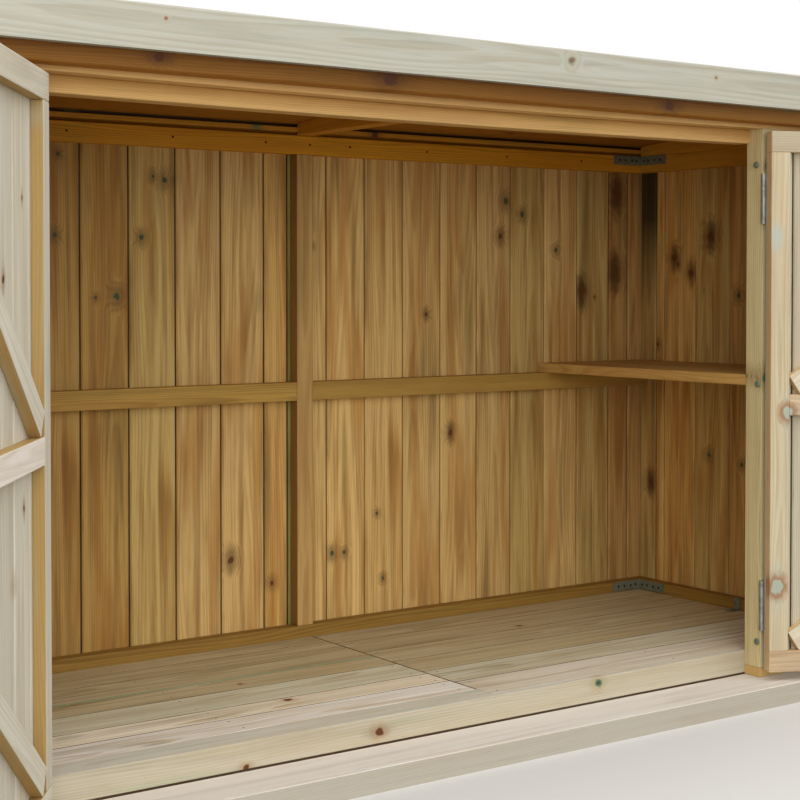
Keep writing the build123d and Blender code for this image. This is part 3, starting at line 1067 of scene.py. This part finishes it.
@dataclass
class Base:
    """The sill, the floor beam, the bearers and the floor's boards."""

    carpentry: Carpentry
    left_joints: Sequence[float] = (-0.202, -0.123, -0.005, 0.081, 0.089, 0.199, 0.28)
    right_joints: Sequence[float] = (-0.218, -0.101, 0.015, 0.132, 0.248)
    strip_width: float = 0.02
    gap: float = 0.003
    seam_gap: float = 0.0026
    sill_gap: float = 0.003
    shade_depth: float = 0.004
    shade_drop: float = 0.0024
    nail_radius: float = 0.0024
    nail_height: float = 0.0008
    nail_inset: float = 0.018
    nail_stray: float = 0.006
    end_joist: float = 0.03

    def build(self) -> None:
        """Builds the base."""
        self.carpentry.dress("sill_board", SILL, round_by=0.004, broad=Vector((0, 0, 1)),
                             shape=self._trim_sill)
        face = corners("floor_beam")[0].y
        knots = (Knot((-0.283, face, 0.073), 0.008, smear=0.35),
                 Knot((0.296, face, 0.089), 0.0085, resin=1.2),
                 Knot((-0.585, face, 0.053), 0.006, smear=0.2))
        self.carpentry.dress("floor_beam", BEAM, round_by=0.004, knots=knots, broad=Vector((0, 1, 0)))
        low, high = corners("sill_board")
        # A thin dark strip over the sill's back edge paints the shade in the gap under the beam.
        shade_strip = Stack("sill_gap_lining")
        shade_strip.strip((high.x - low.x - 0.01, 0.0012, 0.0045),
                     ((low.x + high.x) / 2, face - 0.0004, high.z + 0.0015), Hue.GAP_SHADE)
        shade_strip.finish(BEAM)
        for node in ("back_bearer", "left_bearer", "right_bearer", "floor_joists"):
            self.carpentry.dress(node, FLOOR)
        # The floor boards' tints darken towards the back, partly their own colour and partly painted shade
        # inside the shelter; the front left board's FROST tint is painted light.
        self._floor("floor_left", self.left_joints, Hue.row("FROST FRESH OLIVE DEEP GREEN DEEP DEEP DEEP"))
        self._floor("floor_right", self.right_joints, Hue.row("PLAIN OLIVE DEEP DEEP DEEP DEEP"))

    def _trim_sill(self, mesh: bmesh.types.BMesh) -> None:
        """Keeps the sill clear of the beam by a dark line."""
        edge = max(vert.co.y for vert in mesh.verts) - 0.001
        bmesh.ops.translate(mesh, vec=(0, -self.sill_gap, 0), verts=[v for v in mesh.verts if v.co.y > edge])

    def _floor(self, node: str, joints: Sequence[float], hues: Mapping[int, Hue]) -> None:
        """Builds boards that run along the shelter, nailed to the joists.

        Args:
            node: the run of boards.
            joints: where one board ends and the next begins, from the front to the back.
            hues: the boards' tints, from the front.
        """
        low, high = corners(node)
        middle = (low + high) / 2
        edges = [low.y, *[joint for joint in joints if low.y + 0.005 < joint < high.y - 0.005], high.y]
        stack = Stack(f"{node}_boards", FLOOR.variety)
        nails = Stack(f"{node}_nails")
        for index, (front, back) in enumerate(zip(edges, edges[1:])):
            strip = back - front < self.strip_width
            size = Vector((high.x - low.x - self.seam_gap, back - front - (0 if strip else self.gap),
                           high.z - low.z))
            centre = Vector((middle.x, (front + back) / 2, middle.z))
            stack.bar(size, Matrix.Translation(centre), 0.0008 if strip else 0.0014, hue=hues.get(index))
            # A dark strip under each joint paints the shade in the gap.
            if index:
                stack.strip((size.x, self.gap * 2, self.shade_depth),
                            (centre.x, front, high.z - self.shade_drop), Hue.GAP_SHADE)
            if not strip:
                self._nail(nails, low, high, centre.y, size.y / 2 - self.nail_inset)
        # A dark strip along the seam paints the shade in its gap.
        seam = high.x if low.x < -0.5 else low.x
        stack.strip((0.004, high.y - low.y - 0.004, self.shade_depth),
                    (seam - math.copysign(0.001, seam - middle.x), middle.y, high.z - self.shade_drop),
                    Hue.GAP_SHADE)
        stack.finish(FLOOR, nodes=[node])
        nails.finish(OLD_ZINC)

    def _nail(self, nails: Stack, low: Vector, high: Vector, middle: float, offset: float) -> None:
        """Drives two nails through one board at each joist.

        Args:
            nails: the piece that collects them.
            low: the lowest corner of the run of boards.
            high: its highest corner.
            middle: where the board's middle line lies.
            offset: how far the nails stand from that line.
        """
        for joist in (low.x + self.end_joist, (low.x + high.x) / 2, high.x - self.end_joist):
            for side in (-1, 1):
                spot = Vector((joist + nails.chance.uniform(-self.nail_stray, self.nail_stray),
                               middle + side * offset, high.z - 0.0006))
                nails.disc(self.nail_radius, self.nail_height, Matrix.Translation(spot), 10)


@dataclass
class Walls:
    """The boarded walls, their rails, the posts and the shelf."""

    carpentry: Carpentry
    left_joints: Sequence[float] = (-1.044, -0.926, -0.808, -0.691, -0.574, -0.455, -0.336, -0.217, -0.0995,
                                    -0.034)
    right_joints: Sequence[float] = (0.0, 0.079, 0.192, 0.309, 0.428, 0.547, 0.661, 0.778, 0.896, 1.013,
                                     1.085)
    corner_joints: Sequence[float] = (0.322, 0.29, 0.172, 0.047, -0.073, -0.193, -0.313)
    board_pitch: float = 0.118

    def build(self) -> None:
        """Builds the walls."""
        self._back()
        self._sides()
        BoardedWall("front_panel", Vector((0, -1, 0)),
                    BoardedWall.even(0.8, 1.16, 0.942, self.board_pitch)).build(WALL)
        self.carpentry.dress("back_rails", ROOF, hue=Levels(Hue.MUTED, Hue.GREYED, Hue.AMBER))
        self.carpentry.dress("back_stud", STUD, broad=Vector((0, 1, 0)))
        for node in ("left_rails", "right_rails", "front_panel_rails"):
            self.carpentry.dress(node, ROOF, hue=Levels(Hue.MUTED, Hue.GREYED, Hue.PLAIN))
        # The door head turns darker towards its top: painted shade under the front rail.
        self.carpentry.dress("door_head", HEAD, hue=Hue.FRESH, fade=(1.284, 1.31, Hue.SHADE_UNDER_OVERHANG), shape=sagged)
        self.carpentry.dress("shelf", HEAD, hue=Hue.DEEP)
        self.carpentry.dress("front_plates", HEAD, hue=Hue.OLIVE)
        self.carpentry.dress("left_post", POST)
        face = corners("right_post")[0].y
        self.carpentry.dress("right_post", POST, knots=(Knot((0.768, face, 1.229), 0.006, resin=0.8),
                                                        Knot((0.764, face, 0.743), 0.009, resin=0.9)))

    def _back(self) -> None:
        """The back wall: brown boards on the left, lighter ones with a middle groove on the right; the
        darkest tints of the first boards are partly their own brown and partly painted shade.
        """
        face = corners("back_wall")[0].y
        seen = (
            Knot((-0.626, face, 1.244), 0.0039, resin=0.8), Knot((-0.634, face, 1.064), 0.005, resin=1.0),
            Knot((-0.485, face, 0.929), 0.0072, resin=1.0), Knot((-0.537, face, 0.926), 0.0033, resin=0.5),
            Knot((-0.364, face, 1.195), 0.0066, resin=0.6), Knot((-0.394, face, 1.203), 0.0039, resin=0.9),
            Knot((-0.424, face, 1.063), 0.0055, resin=1.0), Knot((0.013, face, 1.113), 0.009, smear=0.6),
            Knot((0.036, face, 1.05), 0.0033, resin=0.7), Knot((0.7, face, 1.144), 0.006, resin=1.0),
            Knot((0.818, face, 1.051), 0.0055, resin=0.7), Knot((0.912, face, 0.938), 0.011, smear=1.0),
            Knot((0.96, face, 0.923), 0.0022, smear=0.4), Knot((1.036, face, 0.991), 0.013, smear=1.0),
            Knot((1.04, face, 1.209), 0.014, smear=1.0), Knot((0.093, face, 0.293), 0.006, resin=1.0),
            Knot((0.129, face, 0.292), 0.0044, resin=1.0), Knot((0.246, face, 0.215), 0.0039, resin=0.8),
            Knot((0.228, face, 0.381), 0.0033, resin=0.6), Knot((0.46, face, 0.573), 0.0066, smear=0.7),
        )
        hues = Hue.row("DUSK DUSK SHADY DEEP DEEP DEEP OLIVE PLAIN PLAIN GOLDEN GREEN "
                       "FRESH FRESH FRESH PLAIN FRESH PLAIN OLIVE PLAIN OLIVE BROWN BROWN")
        BoardedWall("back_wall", Vector((0, 1, 0)), [*self.left_joints, *self.right_joints], grooved_from=0.0,
                    hues=hues, knots=seen).build(WALL)

    def _sides(self) -> None:
        """The side walls; the board in the right-hand corner turns dark towards its top."""
        face = corners("right_wall")[0].x
        seen = (
            Knot((face, 0.25, 1.031), 0.009, smear=0.8), Knot((face, 0.236, 1.013), 0.0044, smear=0.5),
            Knot((face, 0.113, 1.087), 0.011, smear=0.9), Knot((face, 0.186, 0.989), 0.008, smear=0.8),
            Knot((face, 0.012, 0.928), 0.006, resin=0.9), Knot((face, 0.138, 0.942), 0.0028, resin=0.4),
            Knot((face, 0.339, 0.402), 0.009, smear=0.9), Knot((face, 0.117, 0.497), 0.0055, resin=0.8),
            Knot((face, -0.002, 0.48), 0.005, resin=0.7), Knot((face, 0.064, 0.241), 0.006, resin=0.7),
            Knot((face, 0.244, 0.259), 0.0039, resin=0.5),
        )
        count = len(self.corner_joints)
        BoardedWall("right_wall", Vector((1, 0, 0)), self.corner_joints, knots=seen,
                    hues={count: Hue.OLIVE, count - 1: Hue.GOLDEN, count - 2: Hue.GOLDEN,
                          count - 3: Hue.OLIVE},
                    faded={count: (0.883, 1.143, Hue.CORNER_DARK)}).build(WALL)
        BoardedWall("left_wall", Vector((-1, 0, 0)), BoardedWall.even(-0.41, 0.39, 0.29, 0.1185)).build(WALL)


@dataclass
class Roof:
    """The roof's frame, deck, felt and edge boards."""

    carpentry: Carpentry
    board_pitch: float = 0.118
    board_thickness: float = 0.0159
    board_gap: float = 0.0012
    board_vee: float = 0.0022
    rail_rebate: float = 0.008
    rebate_back: float = 0.3645
    felt_lap: float = 0.07
    lap_place: float = 0.02
    lower_felt: float = 0.0014
    upper_felt: float = 0.0026
    nail_inset: float = 0.018
    nail_pitch: float = 0.12
    nail_radius: float = 0.005
    nail_height: float = 0.0007

    def build(self) -> None:
        """Builds the roof."""
        # The front rail turns darker towards its top: painted shade under the batten.
        self.carpentry.dress("roof_front_rail", HEAD, hue=Hue.FRESH, fade=(1.314, 1.334, Hue.SHADE_UNDER_OVERHANG),
                             shape=sagged)
        face = corners("roof_front_batten")[0].y
        knots = (Knot((-0.322, face, 1.343), 0.013, smear=0.4), Knot((0.413, face, 1.34), 0.01, smear=0.4),
                 Knot((-0.808, face, 1.345), 0.008, smear=0.4))
        # The batten turns browner and darker towards its top: painted shade under the fascia.
        self.carpentry.dress("roof_front_batten", BATTEN_PAINTED_SHADING, hue=Hue.PLAIN, broad=Vector((0, 1, 0)),
                             fade=(1.328, 1.352, Hue.BROWN), knots=knots)
        self._back_rail()
        self.carpentry.dress("roof_rafters", ROOF)
        face = corners("roof_fascia")[0].y
        knots = (Knot((-0.805, face, 1.409), 0.0028, smear=0.05), Knot((0.116, face, 1.41), 0.009, resin=1.2),
                 Knot((0.533, face, 1.406), 0.003, smear=0.05))
        self.carpentry.dress("roof_fascia", FASCIA, round_by=0.003, knots=knots)
        for node in ("left_roof_edge", "right_roof_edge"):
            self.carpentry.dress(node, FASCIA, round_by=0.003)
        self._deck()
        self._felt()

    def _back_rail(self) -> None:
        """The back rail, with the shade over and under its front half."""
        low, high = corners("roof_back_rail")
        knots = (Knot((0.2, low.y, 1.323), 0.006, smear=0.4), Knot((-0.14, low.y, 1.325), 0.006, resin=0.9))
        self.carpentry.dress("roof_back_rail", ROOF, shape=self._rebate, knots=knots)
        # A black strip in the rail's rebate paints the shade in the gap under the deck.
        shade_strip = Stack("roof_back_rail_gap")
        centre = ((low.x + high.x) / 2, self.rebate_back - 0.0008, high.z - self.rail_rebate / 2)
        shade_strip.strip((high.x - low.x - 0.02, 0.001, self.rail_rebate * 0.8), centre, Hue.BLACK)
        shade_strip.finish(ROOF)

    def _rebate(self, mesh: bmesh.types.BMesh) -> None:
        """Thins the back rail's front half, which leaves a dark line under the deck and one over the wall.

        Args:
            mesh: the rail.
        """
        bmesh.ops.bisect_plane(mesh, geom=[*mesh.verts, *mesh.edges, *mesh.faces],
                               plane_co=(0, self.rebate_back, 0), plane_no=(0, 1, 0))
        near = [vert for vert in mesh.verts if vert.co.y < self.rebate_back + 0.001]
        middle = sum(vert.co.z for vert in near) / len(near)
        for vert in near:
            vert.co.z += -self.rail_rebate if vert.co.z > middle else self.rail_rebate

    def _slope(self, node: str) -> tuple[Matrix, float, float]:
        """Measures a node that lies in the roof's slope.

        Args:
            node: the deck or the felt.

        Returns:
            The frame on its underside, X up the slope, and its length and width.
        """
        solid = next(CadReader.solids(self.carpentry.nodes[node]))
        front = min((v.co for v in solid.mesh.verts), key=lambda c: (round(c.y, 4), c.z)).copy()
        back = max((v.co for v in solid.mesh.verts), key=lambda c: (round(c.y, 4), -c.z)).copy()
        width = solid.high.x - solid.low.x
        solid.mesh.free()
        run = Vector((0, back.y - front.y, back.z - front.z))
        along = run.normalized()
        across = Vector((-1, 0, 0))
        middle = Vector((0, (front.y + back.y) / 2, (front.z + back.z) / 2))
        return laid(middle, along, across, along.cross(across)), run.length, width

    def _deck(self) -> None:
        """Boards that run along the shelter."""
        lie, length, width = self._slope("roof_deck")
        count = round(length / self.board_pitch)
        pitch = length / count
        size = Vector((width, pitch - self.board_gap, self.board_thickness))
        stack = Stack("roof_deck_boards", ROOF.variety)
        turn = Matrix.Rotation(math.radians(90), 4, "Z")
        for index in range(count):
            place = Matrix.Translation(((index + 0.5) * pitch - length / 2, 0, self.board_thickness / 2))
            # The deck boards' SHADY tint is painted shade under the roof.
            stack.board(size, lie @ place @ turn, 0.0, self.board_vee, hue=Hue.SHADY)
        stack.finish(ROOF, nodes=["roof_deck"])

    def _felt(self) -> None:
        """Two lengths of felt, the upper one lapped over the lower, with clout nails along the edges."""
        lie, length, width = self._slope("roof_felt")
        stack = Stack("roof_felt_sheets")
        nails = Stack("roof_felt_nails")
        half = length / 2
        for start, end, thick in ((-half, self.lap_place + self.felt_lap, self.lower_felt),
                                  (self.lap_place, half, self.upper_felt)):
            size = Vector((end - start, width, thick))
            stack.bar(size, lie @ Matrix.Translation(((start + end) / 2, 0, thick / 2)), 0.0005, 1)
        line = half - self.nail_inset
        for step in range(int(width / self.nail_pitch)):
            for at, top in ((-line, self.lower_felt), (line, self.upper_felt)):
                spot = Matrix.Translation((at, (step + 0.5) * self.nail_pitch - width / 2, top - 0.0002))
                nails.disc(self.nail_radius, self.nail_height, lie @ spot, 10)
        stack.finish(FELT, nodes=["roof_felt"])
        nails.finish(ZINC)


@dataclass
class DoorLeaf:
    """One framed, braced door leaf: boards, rails, stiles and braces."""

    carpentry: Carpentry
    body: Body
    pivot: Vector
    turn: float
    side: int
    finish: TimberFinish
    knots: Sequence[Knot] = ()
    hues: Mapping[str, Union[Hue, Levels]] = field(default_factory=dict)
    board_pitch: float = 0.112
    edge_board: float = 0.063

    @property
    def frame(self) -> Matrix:
        """Takes the leaf's frame, X along the leaf and Y inwards, to the shelter's frame."""
        place = Matrix.Translation((self.pivot.x, self.pivot.y, 0))
        return place @ Matrix.Rotation(math.radians(self.turn), 4, "Z")

    def build(self) -> None:
        """Builds the leaf."""
        name = self.body.value
        solid = next(CadReader.solids(self.carpentry.nodes[f"{name}_boards"], self.frame.inverted()))
        low, high = solid.low.copy(), solid.high.copy()
        solid.mesh.free()
        first = high.x - self.edge_board if self.side < 0 else low.x + self.edge_board
        joints = BoardedWall.even(low.x, high.x, first, self.board_pitch)
        knots = [replace(knot, place=tuple(self.frame @ Vector(knot.place))) for knot in self.knots]
        tint = self.hues.get("boards")
        wall = BoardedWall(f"{name}_boards", Vector((0, -1, 0)), joints, groove=0.0, knots=knots,
                           weathered=False, hues=dict.fromkeys(range(len(joints) + 1), tint) if tint else {})
        wall.build(self.finish, self.body, self.frame, (low, high))
        inwards = self.frame.to_3x3() @ Vector((0, 1, 0))
        for part in ("rails", "stiles", "braces"):
            self.carpentry.dress(f"{name}_{part}", self.finish, self.body, knots=knots, broad=inwards,
                                 hue=self.hues.get(part))


@dataclass
class Doors:
    """Both leaves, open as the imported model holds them."""

    carpentry: Carpentry
    pivots: Mapping[str, Vector]
    left_turn: float = -125.0
    right_turn: float = 156.0
    boards_face: float = 0.016
    frame_face: float = 0.038

    def build(self) -> None:
        """Builds both leaves."""
        boards, frame = self.boards_face, self.frame_face
        left_knots = (
            Knot((0.111, boards, 1.091), 0.004, smear=0.3), Knot((0.184, boards, 0.482), 0.009, resin=0.5),
            Knot((0.108, boards, 0.594), 0.005, smear=0.4), Knot((0.243, boards, 0.96), 0.007, smear=0.3),
            Knot((0.055, frame, 1.231), 0.007, resin=0.16), Knot((0.03, frame, 0.809), 0.01, resin=0.4),
        )
        right_knots = (
            Knot((-0.021, frame, 0.265), 0.014, resin=1.0), Knot((-0.044, frame, 0.663), 0.012, resin=1.0),
            Knot((-0.016, frame, 1.063), 0.009, resin=0.4), Knot((-0.014, frame, 0.879), 0.008, resin=0.35),
        )
        left_hues = {"rails": Levels(Hue.PLAIN, Hue.PALE, Hue.PLAIN)}
        right_hues = {"rails": Levels(Hue.ROSY, Hue.PINK, Hue.DULL), "stiles": Hue.PLAIN,
                      "boards": Hue.COOL, "braces": Hue.FROST}
        DoorLeaf(self.carpentry, Body.LEFT_DOOR, self.pivots["left_door_hinge"], self.left_turn, 1,
                 LEFT_LEAF, left_knots, left_hues).build()
        DoorLeaf(self.carpentry, Body.RIGHT_DOOR, self.pivots["right_door_hinge"], self.right_turn, -1,
                 RIGHT_LEAF, right_knots, right_hues).build()


@dataclass
class Fittings:
    """Hinges, brackets, bolts and screws."""

    nodes: Mapping[str, bpy.types.Object]
    hole_radius: float = 0.0034
    hole_places: Sequence[float] = (0.02, 0.042, 0.066, 0.084)
    bracket_arm: float = 0.05
    bolt_places: Sequence[tuple[float, float]] = ((0.0185, 1.231), (0.011, 0.726), (0.0095, 0.129))
    bolt_radius: float = 0.0078
    bolt_height: float = 0.004
    bolt_dome: float = 0.003
    screw_places: Sequence[float] = (-0.95, -0.62, -0.36, -0.114, 0.009, 0.125, 0.36, 0.62, 0.88)
    screw_height: float = 1.2925
    screw_radius: float = 0.0028

    def build(self) -> None:
        """Dresses the metal."""
        for node in ("left_door_hinges", "right_door_hinges", "left_post_hinges", "right_post_hinges"):
            self._coat(node, ZINC)
        self._coat("angle_brackets", OLD_ZINC)
        self._bracket_holes()
        self._post_bolts()
        self._rail_screws()

    def _coat(self, node: str, finish: MetalFinish) -> None:
        """Gives a CAD node its metal.

        Args:
            node: the node, whose mesh stays as it is.
            finish: the metal.
        """
        data = self.nodes[node].data
        data.materials.clear()
        data.materials.append(Finishes.get(finish))

    def _bracket_holes(self) -> None:
        """Dark screw holes along both arms of the corner brackets."""
        stack = Stack("bracket_holes")
        for solid in CadReader.solids(self.nodes["angle_brackets"]):
            low, high = solid.low, solid.high
            solid.mesh.free()
            if high.x - low.x < self.bracket_arm:
                continue
            side = 1 if low.x > 0 else -1
            inner, outer = (low.x, high.x) if side > 0 else (high.x, low.x)
            height = (low.z + high.z) / 2
            for step in self.hole_places:
                back = Vector((inner + side * step, high.y - 0.002, height))
                arm = Vector((outer - side * 0.002, low.y + step, height))
                for place, angle, axis in ((back, 90, "X"), (arm, -90 * side, "Y")):
                    turn = Matrix.Rotation(math.radians(angle), 4, axis)
                    stack.disc(self.hole_radius, 0.0006, Matrix.Translation(place) @ turn, 12)
        stack.finish(DARK_HOLE)

    def _post_bolts(self) -> None:
        """Domed bolt heads on the doorway side of each post."""
        stack = Stack("post_bolts")
        for node, way in (("left_post", 1), ("right_post", -1)):
            low, high = corners(node)
            turn = Matrix.Rotation(math.radians(90 * way), 4, "Y")
            for back, height in self.bolt_places:
                spot = Vector((high.x if way > 0 else low.x, low.y + back, height))
                stack.disc(self.bolt_radius, self.bolt_height, Matrix.Translation(spot) @ turn, 18,
                           self.bolt_dome)
        stack.finish(BOLT, smooth=True)

    def _rail_screws(self) -> None:
        """Small dark screw heads along the back wall's top rail."""
        stack = Stack("rail_screws")
        low, _ = corners("back_rails")
        turn = Matrix.Rotation(math.radians(90), 4, "X")
        for along in self.screw_places:
            spot = Matrix.Translation((along, low.y, self.screw_height))
            stack.disc(self.screw_radius, 0.0005, spot @ turn, 10)
        stack.finish(DARK_HOLE)


@dataclass
class Setting:
    """Camera, floor, lamps and world."""

    focal_pixels: float = 1644.0
    picture: int = 800
    yaw: float = 35.4
    pitch: float = -1.35
    centre_row: float = 327.0
    eye: Vector = field(default_factory=lambda: Vector((-2.115, -3.0125, 0.947)))
    sensor: float = 36.0
    lamp_colour: Colour = (1.0, 0.99, 0.97)
    sky_colour: Colour = (0.97, 0.985, 1.0)
    sky_strength: float = 1.2
    floor_radius: float = 40.0

    def build(self) -> None:
        """Builds what stands round the shelter."""
        self._camera()
        self._floor()
        self._lamp("key", Vector((-1.2, -4.3, 7.2)), 95.0, 6.0)
        self._lamp("fill", Vector((-3.2, -5.8, 1.1)), 125.0, 4.0)
        self._sky()

    def _camera(self) -> None:
        """The view of the photograph."""
        data = bpy.data.cameras.new("camera")
        data.sensor_width = self.sensor
        data.lens = self.sensor * self.focal_pixels / self.picture
        data.shift_y = (self.centre_row - self.picture / 2) / self.picture
        data.clip_end = 60.0
        camera = bpy.data.objects.new("camera", data)
        camera.location = self.eye
        camera.rotation_euler = (math.radians(90 + self.pitch), 0, math.radians(-self.yaw))
        bpy.context.scene.collection.objects.link(camera)
        bpy.context.scene.camera = camera

    def _floor(self) -> None:
        """A plain pale floor that keeps the shelter's shadow and throws little light back."""
        grid = bmesh.new()
        bmesh.ops.create_circle(grid, cap_ends=True, segments=96, radius=self.floor_radius)
        data = bpy.data.meshes.new("floor")
        grid.to_mesh(data)
        grid.free()
        floor = bpy.data.objects.new("floor", data)
        bpy.context.scene.collection.objects.link(floor)
        shader = Shader.named("plain_floor")
        dull = shader.node("ShaderNodeBsdfDiffuse", None, {"Color": srgb(116, 112, 104)})
        pale = shader.node("ShaderNodeBsdfDiffuse", None, {"Color": srgb(226, 224, 220)})
        shader.two_faced(dull, pale, "ShaderNodeOutputMaterial")
        data.materials.append(shader.owner)

    def _lamp(self, name: str, place: Vector, power: float, size: float) -> None:
        """Hangs a large soft lamp that faces the shelter.

        Args:
            name: the lamp's name.
            place: where it hangs.
            power: its watts.
            size: its width.
        """
        data = bpy.data.lights.new(name, "AREA")
        data.shape = "DISK"
        data.size = size
        data.energy = power
        data.color = self.lamp_colour
        lamp = bpy.data.objects.new(name, data)
        lamp.location = place
        lamp.rotation_euler = (Vector((0, 0, 0.6)) - place).to_track_quat("-Z", "Y").to_euler()
        bpy.context.scene.collection.objects.link(lamp)

    def _sky(self) -> None:
        """Even daylight, seen by the camera as white."""
        world = bpy.data.worlds.new("world")
        shader = Shader(world)
        day = shader.node("ShaderNodeBackground", None,
                          {"Color": self.sky_colour, "Strength": self.sky_strength})
        white = shader.node("ShaderNodeBackground", None, {"Color": (1.0, 1.0, 1.0), "Strength": 1.0})
        shader.two_faced(day, white, "ShaderNodeOutputWorld")
        bpy.context.scene.world = world


def main() -> None:
    """Builds the whole scene in order."""
    logging.basicConfig(level=logging.INFO, format="%(name)s: %(message)s")
    bpy.context.scene.view_settings.view_transform = "Standard"
    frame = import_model()
    carpentry = Carpentry(frame["nodes"])
    Setting().build()
    Base(carpentry).build()
    Walls(carpentry).build()
    Roof(carpentry).build()
    Doors(carpentry, {joint["name"]: Vector(joint["pos_m"]) for joint in frame["joints"]}).build()
    Fittings(frame["nodes"]).build()


if __name__ == "__main__":
    main()
